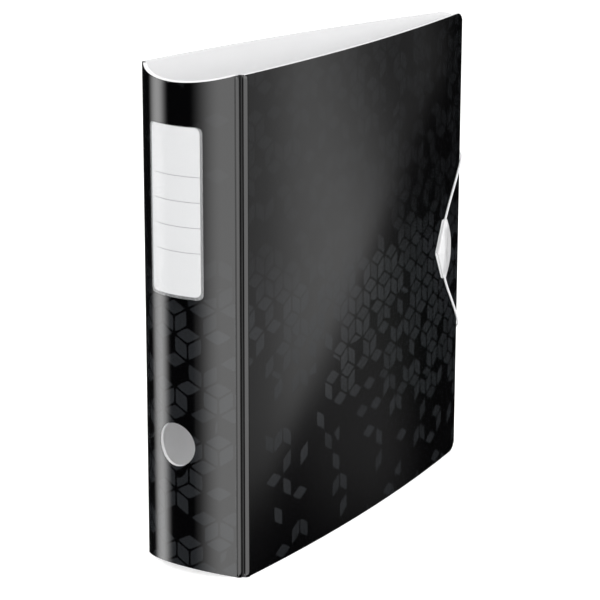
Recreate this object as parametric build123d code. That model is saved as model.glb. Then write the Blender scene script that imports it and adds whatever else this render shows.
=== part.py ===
from build123d import *
import os
from math import asin, cos, degrees, pi, radians, sin, sqrt, tan

# Lever-arch file for A4 sheets, standing closed on its lower edges.
# +Z is up, the rounded spine faces -Y and the front cover is on the +X side.
# The origin is the middle of the base. All lengths are in millimetres.

# ---- driving dimensions: covers, creases and spine
HEIGHT = 318.0
HINGE_SPAN = 80.0        # front crease to back crease, over the outer faces
COVER_DEPTH = 290.0      # chord of a cover, from its crease to its fore-edge
COVER_BOW = 7.5          # how far a cover bulges outwards at mid depth
COVER_LEAN = 7.0         # degrees by which each cover leans in towards the fore-edge
CORNER_RADIUS = 9.5
OUTLINE_BEHIND = 41.0    # how far the cover's side outline reaches past its crease
OUTLINE_BEYOND = 1.0     # and past its fore-edge
SPINE_BULGE = 17.0
SPINE_CUT = 5.6          # how much lower the spine's edge is at its crest
STRIP_SIDE = 3.1         # the hinge strip is a 45 degree chamfer with this side
STRIP_THICKNESS = 0.8
GROOVE_ALONG = 1.6       # from the spine's crease to the bottom of the strip's V groove
GROOVE_DEPTH = 1.1
CREASE_GAP = 0.5
FOIL = 0.4
CORE = 1.9
LINING = 0.3
BOARD = FOIL + CORE + LINING
CREASE_Y = -134.2

# ---- driving dimensions: spine furniture
FINGER_HOLE_RADIUS = 14.0
FINGER_HOLE_Z = 85.0
LABEL_WIDTH = 38.0
LABEL_LOW = 181.5
LABEL_HIGH = 286.0
LABEL_THICKNESS = 0.3
LABEL_CORNER = 3.5
POCKET_MARGIN = 1.7
POCKET_FILM = 0.25
POCKET_PLAY = 0.05
POCKET_LIP = 0.5         # the pocket stands above the card by this

# ---- driving dimensions: lever-arch mechanism, in the frame of the back cover's inner face
MECH_ALONG = 42.0        # mechanism's middle, from the back crease
MECH_Z = 159.0
PLATE_WIDTH = 54.0
PLATE_LENGTH = 150.0
PLATE_THICKNESS = 1.2
PLATE_CORNER = 6.0
TAB_FOOT = 0.6           # tabs start this deep in the plate
RIB_MIDDLE = 61.0
RIB_HALF_LENGTH = 10.0
RIB_HALF_WIDTH = 8.0
RIB_RISE = 1.1
RIB_CORNER = 3.0
POST_PITCH = 80.0
POST_RADIUS = 2.5
POST_FOOT_RADIUS = 2.7
POST_FOOT_TOP = 9.0
POST_Y = 18.0
POST_TOP = 38.0
POST_START = 0.4
COLLAR_RADIUS = 4.2
COLLAR_LOW = 0.25        # above the plate's face
COLLAR_HIGH = 1.2
DISH_RADIUS = 1.9
CONE_POINT = 0.05
WIRE_RADIUS = 1.75
AXLE_X = 5.0
AXLE_Y = -20.0
ARCH_RADIUS = 18.5
ARCH_RISE = 21.0         # top of the arch above the post's top
AXLE_BEND = 3.5
CRANK_BEND = 2.5
TIP_GAP = 0.45           # from the post's top to where the bail's tip starts
CRANK_ARM = 12.0
CRANK_HALF = 9.0
JOG_HALF = 13.0
TIP_HALF_ANGLE = 50.0
BEARING_Z = 27.0
HOOK_RADIUS = 4.2
HOOK_HALF = 3.0
PIVOT_X = 11.0
PIVOT_Y = -2.0
PIVOT_RADIUS = 2.0
EAR_RADIUS = 3.7
EAR_PLAY = 0.35
PIN_HEAD = 0.9
PIN_HEAD_RADIUS = 3.0
LEVER_HALF_WIDTH = 6.5
LEVER_REACH = 36.0
LEVER_TOP = 5.8
LEVER_BELOW = 3.0
LEVER_TOE = 12.0         # length of the tongue that the grip covers
LEVER_NOSE = 3.0         # the lever's top reaches past its pivot by this
LEVER_HEEL = 4.0
GRIP_HALF_WIDTH = 9.0
GRIP_OVERHANG = 5.0
GRIP_COVER = 1.6
GRIP_SKIRT = 0.5
GRIP_CORNER = 4.0
GRIP_EDGE = 1.4
GRIP_LINE_PITCH = 3.5
GRIP_LINE_RADIUS = 0.8
GRIP_LINE_DEPTH = 0.45
GRIP_LINE_HALF = 7.0
SHEET_STEEL = 1.2
RUNNING = 0.05
ROLLER_ARM = 6.0
ROLLER_RADIUS = 4.0
ROLLER_HALF = 4.6
ROLLER_PIN_RADIUS = 1.5
BAR_REST = 2.9
BAR_THICKNESS = 3.0
BAR_HALF_LENGTH = 54.0
BAR_HALF_WIDTH = 6.5
BAR_CORNER = 5.5
BAR_EDGE = 0.7
BAR_GROOVE = (0.9, 2.6, 30.0)  # depth, half width, half length
BAR_GROOVE_CORNER = 2.5
BOSS_RADIUS = 4.6
BOSS_RISE = 2.2
BOSS_PLAY = 0.35
THROUGH = 20.0           # half length of a cutter that goes right through
RIVET_RADIUS = 2.0
RIVET_TOP = 0.9
RIVET_FLANGE_RADIUS = 3.4
RIVET_HEAD = 1.0
RIVET_HEAD_RADIUS = 5.0
RIVET_HEAD_EDGE = 0.8
RIVET_SPOTS = [(24.0, 93.0), (60.0, 93.0), (24.0, 225.0), (60.0, 225.0)]

# ---- driving dimensions: elastic closure
CORD_RADIUS = 0.8
CLIP_Z = 156.6
CORD_HALF_SPREAD = 61.5  # from the clip's middle to where each leg rounds the fore-edge
EDGE_ALONG = 289.6       # centre of the cord's turn round the fore-edge
WRAP_RADIUS = 2.25
TAIL_LENGTH = 14.0
CLIP_ALONG = 258.0
CLIP_HALF_HEIGHT = 20.6
CLIP_APEX = 12.0         # from the clip's middle line to its point, towards the spine
CLIP_BULGE = 8.0         # from the clip's middle line to its rounded side
CLIP_TIP_FROM = -0.6
CLIP_TIP_TO = 3.9
CLIP_BASE = 0.35
CLIP_SPLIT = 2.3
CLIP_TOP = 5.8
CLIP_TAPER = 22.0        # slope of the shell's sides, in degrees
SCOOP_SIZE = (7.2, 3.6, 14.0)
SCOOP_X = 12.0
SCOOP_Y = 3.2
SCOOP_TURN = 12.0
CORD_APEX_X = 2.05       # height of the cord's middle line inside the clip
CORD_APEX_Y = -9.0
CORD_APEX_BEND = 12.0
CORD_TIP_Y = 1.5         # where the cord leaves the clip's tips
CORD_TIP_Z = 21.5
CORD_TIP_BEND = 30.0
STUD_Y = 1.6
STUD_RADIUS = 1.9
STUD_HEAD_RADIUS = 2.7
STUD_HEIGHT = 2.4
STUD_PLAY = 0.7
STUD_SHANK_RADIUS = 1.2
STUD_HEAD = 0.9
WASHER_RADIUS = 4.5
WASHER_THICKNESS = 1.0
ANCHOR_LENGTH = 9.0
ANCHOR_HALF_HEIGHT = 4.5
ANCHOR_LIP = 1.6         # of the anchor above the cord's middle line
ANCHOR_CORNER = 2.0
ANCHOR_GAP = 0.2         # clears the curve of the lining
SEAT = 0.02              # gap between a part and the face it rests on

# ---- worked out from the dimensions above
COVER_R = (COVER_DEPTH ** 2 / 4 + COVER_BOW ** 2) / (2 * COVER_BOW)
HALF_CHORD = HINGE_SPAN / 2 - STRIP_SIDE
SPINE_R = (HALF_CHORD ** 2 + SPINE_BULGE ** 2) / (2 * SPINE_BULGE)
SPINE_HALF_ANGLE = degrees(asin(HALF_CHORD / SPINE_R))
SPINE_END_Y = CREASE_Y - STRIP_SIDE
SPINE_CENTRE_Y = SPINE_END_Y - SPINE_BULGE + SPINE_R


def as_group(*parts):
    """One compound from several separate solids."""
    return Compound(children=[solid for part in parts for solid in part.solids()])


# ---- frames on the covers

def cover_frame(side, along, depth=0.0):
    """Plane on a cover: x is the cover's normal towards +X, y runs to the fore-edge, z is up.

    side is +1 for the front cover and -1 for the back, along is measured on the chord
    from the crease, and depth is how far below the outer face the plane's origin lies.
    """
    angle = asin((along - COVER_DEPTH / 2) / COVER_R)
    out = COVER_BOW - COVER_R + (COVER_R - depth) * cos(angle)
    run = COVER_DEPTH / 2 + (COVER_R - depth) * sin(angle)
    lean = radians(COVER_LEAN)
    x = HINGE_SPAN / 2 + out * cos(lean) - run * sin(lean)
    y = CREASE_Y + out * sin(lean) + run * cos(lean)
    normal = (cos(angle + lean), side * sin(angle + lean), 0)
    return Plane(origin=(side * x, y, 0), x_dir=normal, z_dir=(0, 0, 1))


def placed(plane, shape):
    return plane.location * shape


def block(low, high):
    """Box between two opposite corners."""
    size = [b - a for a, b in zip(low, high)]
    centre = [(a + b) / 2 for a, b in zip(low, high)]
    return Pos(*centre) * Box(*size)


def rod(start, end, radius):
    """Cylinder between two points."""
    along = Vector(*end) - Vector(*start)
    base = Plane(origin=start, z_dir=along)
    return extrude(base * Circle(radius), along.length)


# ---- creases

def crease_points():
    """Front creases in plan: at the cover and at the spine."""
    return (HINGE_SPAN / 2, CREASE_Y), (HALF_CHORD, SPINE_END_Y)


def cover_heading():
    """Direction in which the front cover leaves its crease, in degrees from +X."""
    return 90 + COVER_LEAN - degrees(asin(COVER_DEPTH / 2 / COVER_R))


def cut_plane(point, heading, towards_cover):
    """Upright plane through a crease, set back by half the gap, facing the kept side."""
    sign = 1 if towards_cover else -1
    normal = (sign * cos(radians(heading)), sign * sin(radians(heading)), 0)
    origin = (point[0] + normal[0] * CREASE_GAP / 2, point[1] + normal[1] * CREASE_GAP / 2, 0)
    return Plane(origin=origin, z_dir=normal)


def cover_crease_heading():
    return (45 + cover_heading()) / 2


def spine_crease_heading():
    return (45 + SPINE_HALF_ANGLE) / 2


def keep_side(shape, plane):
    return split(shape, bisect_by=plane, keep=Keep.TOP)


# ---- covers

def cover_sheet(outer, inner):
    """One layer of the front cover, between two depths below its outer face."""
    start = -asin(COVER_DEPTH / 2 / COVER_R) - 1.5 / COVER_R
    end = asin(COVER_DEPTH / 2 / COVER_R)
    centre = (COVER_BOW - COVER_R, COVER_DEPTH / 2)

    def spot(depth, angle):
        reach = COVER_R - depth
        return (centre[0] + reach * cos(angle), centre[1] + reach * sin(angle))

    halfway = (start + end) / 2
    edges = [
        ThreePointArc(spot(outer, start), spot(outer, halfway), spot(outer, end)),
        Line(spot(outer, end), spot(inner, end)),
        ThreePointArc(spot(inner, end), spot(inner, halfway), spot(inner, start)),
        Line(spot(inner, start), spot(outer, start)),
    ]
    sheet = extrude(make_face(edges), HEIGHT)
    width = COVER_DEPTH + OUTLINE_BEHIND + OUTLINE_BEYOND
    middle = (COVER_DEPTH + OUTLINE_BEYOND - OUTLINE_BEHIND) / 2
    outline = Plane.YZ * Pos(middle, HEIGHT / 2) * Rectangle(width, HEIGHT)
    outline = extrude(outline, HINGE_SPAN, both=True)
    fore = outline.edges().filter_by(Axis.X).group_by(Axis.Y)[-1]
    outline = fillet(fore, CORNER_RADIUS)
    sheet = sheet & outline
    frame = Plane(
        origin=(HINGE_SPAN / 2, CREASE_Y, 0),
        x_dir=(cos(radians(COVER_LEAN)), sin(radians(COVER_LEAN)), 0),
        z_dir=(0, 0, 1),
    )
    crease, _ = crease_points()
    return keep_side(placed(frame, sheet), cut_plane(crease, cover_crease_heading(), True))


def rivet_holes():
    """Cutters for the four rivets through the back cover and the base plate."""
    cutters = []
    for along, z in RIVET_SPOTS:
        frame = cover_frame(-1, along)
        cutters.append(placed(frame, rod((-THROUGH, 0, z), (THROUGH, 0, z), RIVET_RADIUS)))
    return cutters


def stud_hole():
    frame = cover_frame(1, CLIP_ALONG)
    hole = rod((-THROUGH, STUD_Y, CLIP_Z), (THROUGH, STUD_Y, CLIP_Z), STUD_SHANK_RADIUS)
    return placed(frame, hole)


def cover_layers():
    """Depths of the three layers of a board, by name."""
    return {
        "foil": (0, FOIL),
        "board": (FOIL, FOIL + CORE),
        "lining": (FOIL + CORE, BOARD),
    }


def front_cover_parts():
    return {
        f"front_cover_{name}": cover_sheet(*depths) - stud_hole()
        for name, depths in cover_layers().items()
    }


def back_cover_parts():
    return {
        f"back_cover_{name}": mirror(cover_sheet(*depths), about=Plane.YZ) - rivet_holes()
        for name, depths in cover_layers().items()
    }


# ---- spine

def spine_band(inner_radius, outer_radius, half_angle, low, high):
    """Part of a ring about the spine's centre line, middle on -Y."""
    def spot(radius, angle):
        return (radius * sin(radians(angle)), SPINE_CENTRE_Y - radius * cos(radians(angle)))

    edges = [
        ThreePointArc(
            spot(outer_radius, -half_angle), spot(outer_radius, 0), spot(outer_radius, half_angle)
        ),
        Line(spot(outer_radius, half_angle), spot(inner_radius, half_angle)),
        ThreePointArc(
            spot(inner_radius, half_angle), spot(inner_radius, 0), spot(inner_radius, -half_angle)
        ),
        Line(spot(inner_radius, -half_angle), spot(outer_radius, -half_angle)),
    ]
    return extrude(Pos(0, 0, low) * make_face(edges), high - low)


def spine_sheet(outer, inner):
    """One layer of the spine, its ends cut at the creases and its edges cut on a slant."""
    spread = SPINE_HALF_ANGLE + 2
    sheet = spine_band(SPINE_R - inner, SPINE_R - outer, spread, 0, HEIGHT)
    _, crease = crease_points()
    for side in (1, -1):
        plane = cut_plane(crease, spine_crease_heading(), False)
        if side < 0:
            plane = Plane(
                origin=(-plane.origin.X, plane.origin.Y, 0),
                z_dir=(-plane.z_dir.X, plane.z_dir.Y, 0),
            )
        sheet = keep_side(sheet, plane)
    slope = SPINE_CUT / SPINE_BULGE
    top = Plane(origin=(0, SPINE_END_Y, HEIGHT), z_dir=(0, slope, -1))
    foot = Plane(origin=(0, SPINE_END_Y, 0), z_dir=(0, slope, 1))
    sheet = keep_side(keep_side(sheet, top), foot)
    hole = rod((0, CREASE_Y - 40, FINGER_HOLE_Z), (0, CREASE_Y, FINGER_HOLE_Z), FINGER_HOLE_RADIUS)
    return sheet - hole


def spine_parts():
    return {f"spine_{name}": spine_sheet(*depths) for name, depths in cover_layers().items()}


def label_blank(width, low, high, inner, outer, corner):
    """Curved card on the spine with rounded corners."""
    half_angle = degrees(width / 2 / SPINE_R)
    card = spine_band(inner, outer, half_angle, low, high)
    half_chord = SPINE_R * sin(radians(half_angle))
    window = Plane.XZ * Pos(0, (low + high) / 2) * RectangleRounded(2 * half_chord, high - low, corner)
    window = extrude(window, 400, both=True)
    return card & window


def label_parts():
    """Card and the clear pocket that holds it, open at the top."""
    insert = label_blank(
        LABEL_WIDTH, LABEL_LOW, LABEL_HIGH, SPINE_R, SPINE_R + LABEL_THICKNESS, LABEL_CORNER
    )
    room = LABEL_THICKNESS + POCKET_PLAY
    pocket = label_blank(
        LABEL_WIDTH + 2 * POCKET_MARGIN,
        LABEL_LOW - POCKET_MARGIN,
        LABEL_HIGH + POCKET_LIP,
        SPINE_R,
        SPINE_R + room + POCKET_FILM,
        LABEL_CORNER,
    )
    cavity = spine_band(
        SPINE_R - 1,
        SPINE_R + room,
        degrees((LABEL_WIDTH / 2 + POCKET_PLAY) / SPINE_R),
        LABEL_LOW - POCKET_PLAY,
        LABEL_HIGH + 5,
    )
    return {"label_insert": insert, "label_pocket": pocket - cavity}


# ---- hinge strips

def hinge_strip():
    """Flexible strip between the front cover and the spine, with a V groove along it."""
    cover_point, spine_point = crease_points()

    def spot(along, depth):
        """Place in plan: along the strip from the spine's crease, and inwards from its face."""
        x = spine_point[0] + (along - depth) * cos(pi / 4)
        return (x, spine_point[1] + (along + depth) * sin(pi / 4))

    width = STRIP_SIDE * sqrt(2)
    plan = Polyline(
        spot(0, 0),
        spot(GROOVE_ALONG, GROOVE_DEPTH),
        spot(width, 0),
        spot(width, STRIP_THICKNESS),
        spot(GROOVE_ALONG, GROOVE_DEPTH + STRIP_THICKNESS),
        spot(0, STRIP_THICKNESS),
        close=True,
    )
    strip = extrude(make_face(plan), HEIGHT)
    strip = keep_side(strip, cut_plane(cover_point, cover_crease_heading(), False))
    return keep_side(strip, cut_plane(spine_point, spine_crease_heading(), True))


def strip_parts():
    strip = hinge_strip()
    return {"front_hinge_strip": strip, "back_hinge_strip": mirror(strip, about=Plane.YZ)}


# ---- lever-arch mechanism; x is the height above the cover's inner face

def mech_frame():
    frame = cover_frame(-1, MECH_ALONG, BOARD)
    frame.origin = frame.origin + Vector(0, 0, MECH_Z)
    return frame


def base_plate():
    """Curved steel plate with bearing hooks for the bail and ears for the lever's pin."""
    depth = (BOARD, BOARD + PLATE_THICKNESS)
    centre = (COVER_BOW - COVER_R, COVER_DEPTH / 2)
    lean = radians(COVER_LEAN)

    def spot(below, along):
        angle = asin((along - COVER_DEPTH / 2) / COVER_R)
        out = centre[0] + (COVER_R - below) * cos(angle)
        run = centre[1] + (COVER_R - below) * sin(angle)
        x = HINGE_SPAN / 2 + out * cos(lean) - run * sin(lean)
        return (-x, CREASE_Y + out * sin(lean) + run * cos(lean))

    low, high = MECH_ALONG - PLATE_WIDTH / 2, MECH_ALONG + PLATE_WIDTH / 2
    edges = [
        ThreePointArc(spot(depth[0], low), spot(depth[0], MECH_ALONG), spot(depth[0], high)),
        Line(spot(depth[0], high), spot(depth[1], high)),
        ThreePointArc(spot(depth[1], high), spot(depth[1], MECH_ALONG), spot(depth[1], low)),
        Line(spot(depth[1], low), spot(depth[0], low)),
    ]
    plate = extrude(Pos(0, 0, MECH_Z - PLATE_LENGTH / 2) * make_face(edges), PLATE_LENGTH)
    corners = plate.edges().filter_by(lambda e: e.length < 2 * PLATE_THICKNESS)
    plate = fillet(corners.filter_by(Axis.Z, reverse=True), PLATE_CORNER)
    frame = mech_frame()
    for side in (1, -1):
        plate += placed(frame, bearing_hook(side * BEARING_Z))
        plate += placed(frame, lever_ear(side))
        plate += placed(frame, plate_rib(side))
        z = side * POST_PITCH / 2
        foot = rod((-POST_FOOT_TOP, POST_Y, z), (POST_FOOT_TOP, POST_Y, z), POST_FOOT_RADIUS)
        plate -= placed(frame, foot)
    return plate - rivet_holes()


def bearing_hook(z):
    """Tab curled round the bail's axle."""
    low, high = z - HOOK_HALF, z + HOOK_HALF
    body = block((TAB_FOOT, AXLE_Y - HOOK_RADIUS, low), (AXLE_X, AXLE_Y + HOOK_RADIUS, high))
    body += rod((AXLE_X, AXLE_Y, low), (AXLE_X, AXLE_Y, high), HOOK_RADIUS)
    return body - rod((AXLE_X, AXLE_Y, low - 1), (AXLE_X, AXLE_Y, high + 1), WIRE_RADIUS + RUNNING)


def lever_ear(side):
    """Upright ear that carries one end of the lever's pivot pin."""
    inner = side * (LEVER_HALF_WIDTH + EAR_PLAY)
    outer = side * (LEVER_HALF_WIDTH + EAR_PLAY + SHEET_STEEL)
    low, high = min(inner, outer), max(inner, outer)
    ear = block((TAB_FOOT, PIVOT_Y - EAR_RADIUS, low), (PIVOT_X, PIVOT_Y + EAR_RADIUS, high))
    ear += rod((PIVOT_X, PIVOT_Y, low), (PIVOT_X, PIVOT_Y, high), EAR_RADIUS)
    return ear - rod((PIVOT_X, PIVOT_Y, low - 1), (PIVOT_X, PIVOT_Y, high + 1), PIVOT_RADIUS)


def plate_rib(side):
    """Pressed stiffening rib between a post and the end of the plate."""
    low, high = side * RIB_MIDDLE - RIB_HALF_LENGTH, side * RIB_MIDDLE + RIB_HALF_LENGTH
    rib = block((TAB_FOOT, -RIB_HALF_WIDTH, low), (PLATE_THICKNESS + RIB_RISE, RIB_HALF_WIDTH, high))
    return fillet(rib.edges().filter_by(Axis.X), RIB_CORNER)


def post(side):
    """Fixed post with a collar on the plate and a dished top for the bail's tip."""
    z = side * POST_PITCH / 2
    collar_low, collar_high = PLATE_THICKNESS + COLLAR_LOW, PLATE_THICKNESS + COLLAR_HIGH
    body = rod((POST_START, POST_Y, z), (POST_TOP, POST_Y, z), POST_RADIUS)
    body += rod((POST_START, POST_Y, z), (POST_FOOT_TOP, POST_Y, z), POST_FOOT_RADIUS)
    body += rod((collar_low, POST_Y, z), (collar_high, POST_Y, z), COLLAR_RADIUS)
    dish_depth = DISH_RADIUS / tan(radians(TIP_HALF_ANGLE))
    dish = Cone(CONE_POINT, DISH_RADIUS, dish_depth, align=(Align.CENTER, Align.CENTER, Align.MAX))
    dish = Plane(origin=(POST_TOP, POST_Y, z), z_dir=(1, 0, 0)) * dish
    return body - dish


def bail():
    """Both arches and the cranked axle, bent from one wire."""
    half = POST_PITCH / 2
    start = POST_TOP + TIP_GAP
    top = POST_TOP + ARCH_RISE
    arch_up = [(start, POST_Y, half), (top, POST_Y, half), (top, AXLE_Y, half)]
    axle = [(AXLE_X, AXLE_Y, half), (AXLE_X, AXLE_Y, JOG_HALF)]
    crank = [(AXLE_X, AXLE_Y + CRANK_ARM, CRANK_HALF)]
    one_side = arch_up + axle + crank
    points = one_side + [(x, y, -z) for x, y, z in reversed(one_side)]
    bends = [ARCH_RADIUS, ARCH_RADIUS, AXLE_BEND, CRANK_BEND, CRANK_BEND]
    radii = bends + bends[::-1]
    path = FilletPolyline(*points, radius=radii)
    wire = sweep(Plane(origin=path @ 0, z_dir=path % 0) * Circle(WIRE_RADIUS), path=path)
    tip = WIRE_RADIUS / tan(radians(TIP_HALF_ANGLE))
    for side in (1, -1):
        cone = Cone(CONE_POINT, WIRE_RADIUS, tip, align=(Align.CENTER, Align.CENTER, Align.MAX))
        wire += Plane(origin=(start, POST_Y, side * half), z_dir=(1, 0, 0)) * cone
    return wire


def lever_arm():
    """Pressed channel with its pivot at one end and a tongue for the grip at the other."""
    half = LEVER_HALF_WIDTH
    far = PIVOT_Y - LEVER_REACH
    side_plan = [
        (PIVOT_X - LEVER_BELOW, PIVOT_Y),
        (PIVOT_X - LEVER_BELOW, far + LEVER_TOE),
        (PIVOT_X + LEVER_BELOW / 2, far),
        (PIVOT_X + LEVER_TOP, far),
        (PIVOT_X + LEVER_TOP, PIVOT_Y + LEVER_NOSE),
        (PIVOT_X, PIVOT_Y + LEVER_HEEL),
    ]
    body = extrude(Pos(0, 0, -half) * make_face(Polyline(*side_plan, close=True)), 2 * half)
    room = block(
        (0, far - 1, -half + SHEET_STEEL),
        (PIVOT_X + LEVER_TOP - SHEET_STEEL, PIVOT_Y + 2 * LEVER_HEEL, half - SHEET_STEEL),
    )
    body -= room
    body -= cross_hole(PIVOT_Y, PIVOT_RADIUS + RUNNING)
    return body - cross_hole(PIVOT_Y - ROLLER_ARM, ROLLER_PIN_RADIUS)


def cross_hole(y, radius):
    """Cutter through the lever, level with its pivot."""
    return rod((PIVOT_X, y, -THROUGH), (PIVOT_X, y, THROUGH), radius)


def lever_grip():
    """Moulded grip pushed over the lever's end."""
    far = PIVOT_Y - LEVER_REACH
    half = GRIP_HALF_WIDTH
    top = PIVOT_X + LEVER_TOP + GRIP_COVER
    toe = far + LEVER_TOE - 1
    grip = block((PIVOT_X - GRIP_SKIRT, far - GRIP_OVERHANG, -half), (top, toe, half))
    grip = fillet(grip.edges().filter_by(Axis.X), GRIP_CORNER)
    grip = fillet(grip.faces().sort_by(Axis.X)[-1].edges(), GRIP_EDGE)
    inner = LEVER_HALF_WIDTH
    pocket = block((0, far - RUNNING, -inner), (PIVOT_X + LEVER_TOP, far + LEVER_TOE, inner))
    line_x = PIVOT_X + LEVER_TOP + GRIP_COVER + GRIP_LINE_RADIUS - GRIP_LINE_DEPTH
    for step in (0, 1, 2):
        y = far - GRIP_OVERHANG / 2 + GRIP_LINE_PITCH * step
        grip -= rod((line_x, y, -GRIP_LINE_HALF), (line_x, y, GRIP_LINE_HALF), GRIP_LINE_RADIUS)
    return grip - pocket


def roller():
    y = PIVOT_Y - ROLLER_ARM
    body = rod((PIVOT_X, y, -ROLLER_HALF), (PIVOT_X, y, ROLLER_HALF), ROLLER_RADIUS)
    return body - cross_hole(y, ROLLER_PIN_RADIUS + RUNNING)


def roller_pin():
    y = PIVOT_Y - ROLLER_ARM
    end = LEVER_HALF_WIDTH
    return rod((PIVOT_X, y, -end), (PIVOT_X, y, end), ROLLER_PIN_RADIUS)


def pivot_pin():
    """Headed pin through both ears."""
    end = LEVER_HALF_WIDTH + EAR_PLAY + SHEET_STEEL
    pin = rod((PIVOT_X, PIVOT_Y, -end), (PIVOT_X, PIVOT_Y, end), PIVOT_RADIUS)
    for side in (1, -1):
        near, far = side * end, side * (end + PIN_HEAD)
        pin += rod((PIVOT_X, PIVOT_Y, near), (PIVOT_X, PIVOT_Y, far), PIN_HEAD_RADIUS)
    return pin


def compressor_bar():
    """Moulded bar that slides on both posts to hold the sheets down."""
    low, high = BAR_REST, BAR_REST + BAR_THICKNESS
    left, right = POST_Y - BAR_HALF_WIDTH, POST_Y + BAR_HALF_WIDTH
    bar = block((low, left, -BAR_HALF_LENGTH), (high, right, BAR_HALF_LENGTH))
    bar = fillet(bar.edges().filter_by(Axis.X), BAR_CORNER)
    bar = fillet(bar.faces().sort_by(Axis.X)[-1].edges(), BAR_EDGE)
    depth, half_width, half_length = BAR_GROOVE
    near, far = POST_Y - half_width, POST_Y + half_width
    groove = block((high - depth, near, -half_length), (high + 1, far, half_length))
    bar -= fillet(groove.edges().filter_by(Axis.X), BAR_GROOVE_CORNER)
    for side in (1, -1):
        z = side * POST_PITCH / 2
        bar += rod((high - BAR_EDGE, POST_Y, z), (high + BOSS_RISE, POST_Y, z), BOSS_RADIUS)
        bar -= rod((low - 1, POST_Y, z), (high + THROUGH, POST_Y, z), POST_FOOT_RADIUS + BOSS_PLAY)
    return bar


def rivets():
    """Four rivets with domed heads outside and flanges on the plate."""
    parts = []
    for along, z in RIVET_SPOTS:
        top = BOARD + PLATE_THICKNESS
        rivet = rod((0, 0, z), (top + RIVET_TOP, 0, z), RIVET_RADIUS)
        rivet += rod((top + SEAT, 0, z), (top + RIVET_TOP, 0, z), RIVET_FLANGE_RADIUS)
        head = rod((-RIVET_HEAD, 0, z), (0, 0, z), RIVET_HEAD_RADIUS)
        head = fillet(head.edges().group_by(Axis.X)[0], RIVET_HEAD_EDGE)
        parts.append(placed(cover_frame(-1, along), rivet + head))
    return as_group(*parts)


def mechanism_parts():
    frame = mech_frame()
    return {
        "mechanism_base_plate": base_plate(),
        "upper_post": placed(frame, post(1)),
        "lower_post": placed(frame, post(-1)),
        "arch_bail": placed(frame, bail()),
        "lever_arm": placed(frame, lever_arm()),
        "lever_grip": placed(frame, lever_grip()),
        "lever_roller": placed(frame, roller()),
        "roller_pin": placed(frame, roller_pin()),
        "lever_pivot_pin": placed(frame, pivot_pin()),
        "compressor_bar": placed(frame, compressor_bar()),
        "mounting_rivets": rivets(),
    }


# ---- elastic closure

def edge_frame():
    """Frame at the centre of the cord's turn round the front cover's fore-edge."""
    frame = cover_frame(1, EDGE_ALONG, BOARD / 2)
    frame.origin = frame.origin + Vector(0, 0, CLIP_Z)
    return frame


def clip_frame():
    frame = cover_frame(1, CLIP_ALONG)
    frame.origin = frame.origin + Vector(0, 0, CLIP_Z)
    return frame


def from_clip(x, y, z):
    """A point of the clip's frame, in the edge frame."""
    return edge_frame().to_local_coords(clip_frame().from_local_coords(Vector(x, y, z)))


def loop_path():
    """Middle line of the cord outside the cover: edge, clip tip, apex, clip tip, edge."""
    points = [
        Vector(WRAP_RADIUS, 0, CORD_HALF_SPREAD),
        from_clip(CORD_APEX_X, CORD_TIP_Y, CORD_TIP_Z),
        from_clip(CORD_APEX_X, CORD_APEX_Y, 0),
        from_clip(CORD_APEX_X, CORD_TIP_Y, -CORD_TIP_Z),
        Vector(WRAP_RADIUS, 0, -CORD_HALF_SPREAD),
    ]
    return FilletPolyline(*points, radius=[CORD_TIP_BEND, CORD_APEX_BEND, CORD_TIP_BEND])


def tube(path, radius):
    return sweep(Plane(origin=path @ 0, z_dir=path % 0) * Circle(radius), path=path)


def wrap_path(z):
    return ThreePointArc((WRAP_RADIUS, 0, z), (0, WRAP_RADIUS, z), (-WRAP_RADIUS, 0, z))


def cord_parts():
    frame = edge_frame()
    upright = [side * CORD_HALF_SPREAD for side in (1, -1)]
    loop = tube(loop_path(), CORD_RADIUS)
    loop = keep_side(loop, Plane(origin=(0, 0, 0), z_dir=(0, -1, 0)))
    wraps = [tube(wrap_path(z), CORD_RADIUS) for z in upright]
    tails = [rod((-WRAP_RADIUS, 0, z), (-WRAP_RADIUS, -TAIL_LENGTH, z), CORD_RADIUS) for z in upright]
    anchors = [cord_anchor(z) for z in upright]
    report_cord(loop)
    return {
        "closure_cord": placed(frame, loop),
        "cord_wraps": placed(frame, as_group(*wraps)),
        "cord_tails": placed(frame, as_group(*tails)),
        "cord_anchors": placed(frame, as_group(*anchors)),
    }


def report_cord(loop):
    """Prints the cord's radii, and its loop's volume against section times length."""
    print("cord radii", WRAP_RADIUS, CORD_TIP_BEND, CORD_APEX_BEND, CORD_TIP_BEND, WRAP_RADIUS)
    length = loop_path().length
    print("loop length", round(length, 2), "volume", round(loop.volume, 2))
    print("section times length", round(pi * CORD_RADIUS ** 2 * length, 2))


def cord_anchor(z):
    """Small moulded block bonded to the lining, into which the cord's end is pressed."""
    low = (-WRAP_RADIUS - ANCHOR_LIP, -TAIL_LENGTH - ANCHOR_LENGTH, z - ANCHOR_HALF_HEIGHT)
    high = (-BOARD / 2 - ANCHOR_GAP, -TAIL_LENGTH, z + ANCHOR_HALF_HEIGHT)
    return fillet(block(low, high).edges().filter_by(Axis.X), ANCHOR_CORNER)


def clip_outline():
    """Leaf shape with a point towards the spine and a rounded side towards the fore-edge."""
    top, foot = CLIP_HALF_HEIGHT, -CLIP_HALF_HEIGHT
    return [
        Line((-CLIP_APEX, 0), (CLIP_TIP_FROM, top)),
        Line((CLIP_TIP_FROM, top), (CLIP_TIP_TO, top)),
        ThreePointArc((CLIP_TIP_TO, top), (CLIP_BULGE, 0), (CLIP_TIP_TO, foot)),
        Line((CLIP_TIP_TO, foot), (CLIP_TIP_FROM, foot)),
        Line((CLIP_TIP_FROM, foot), (-CLIP_APEX, 0)),
    ]


def clip_slice(low, high, taper):
    face = Pos(low, 0, 0) * (Plane.YZ * make_face(clip_outline()))
    return extrude(face, high - low, dir=(1, 0, 0), taper=taper)


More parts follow.
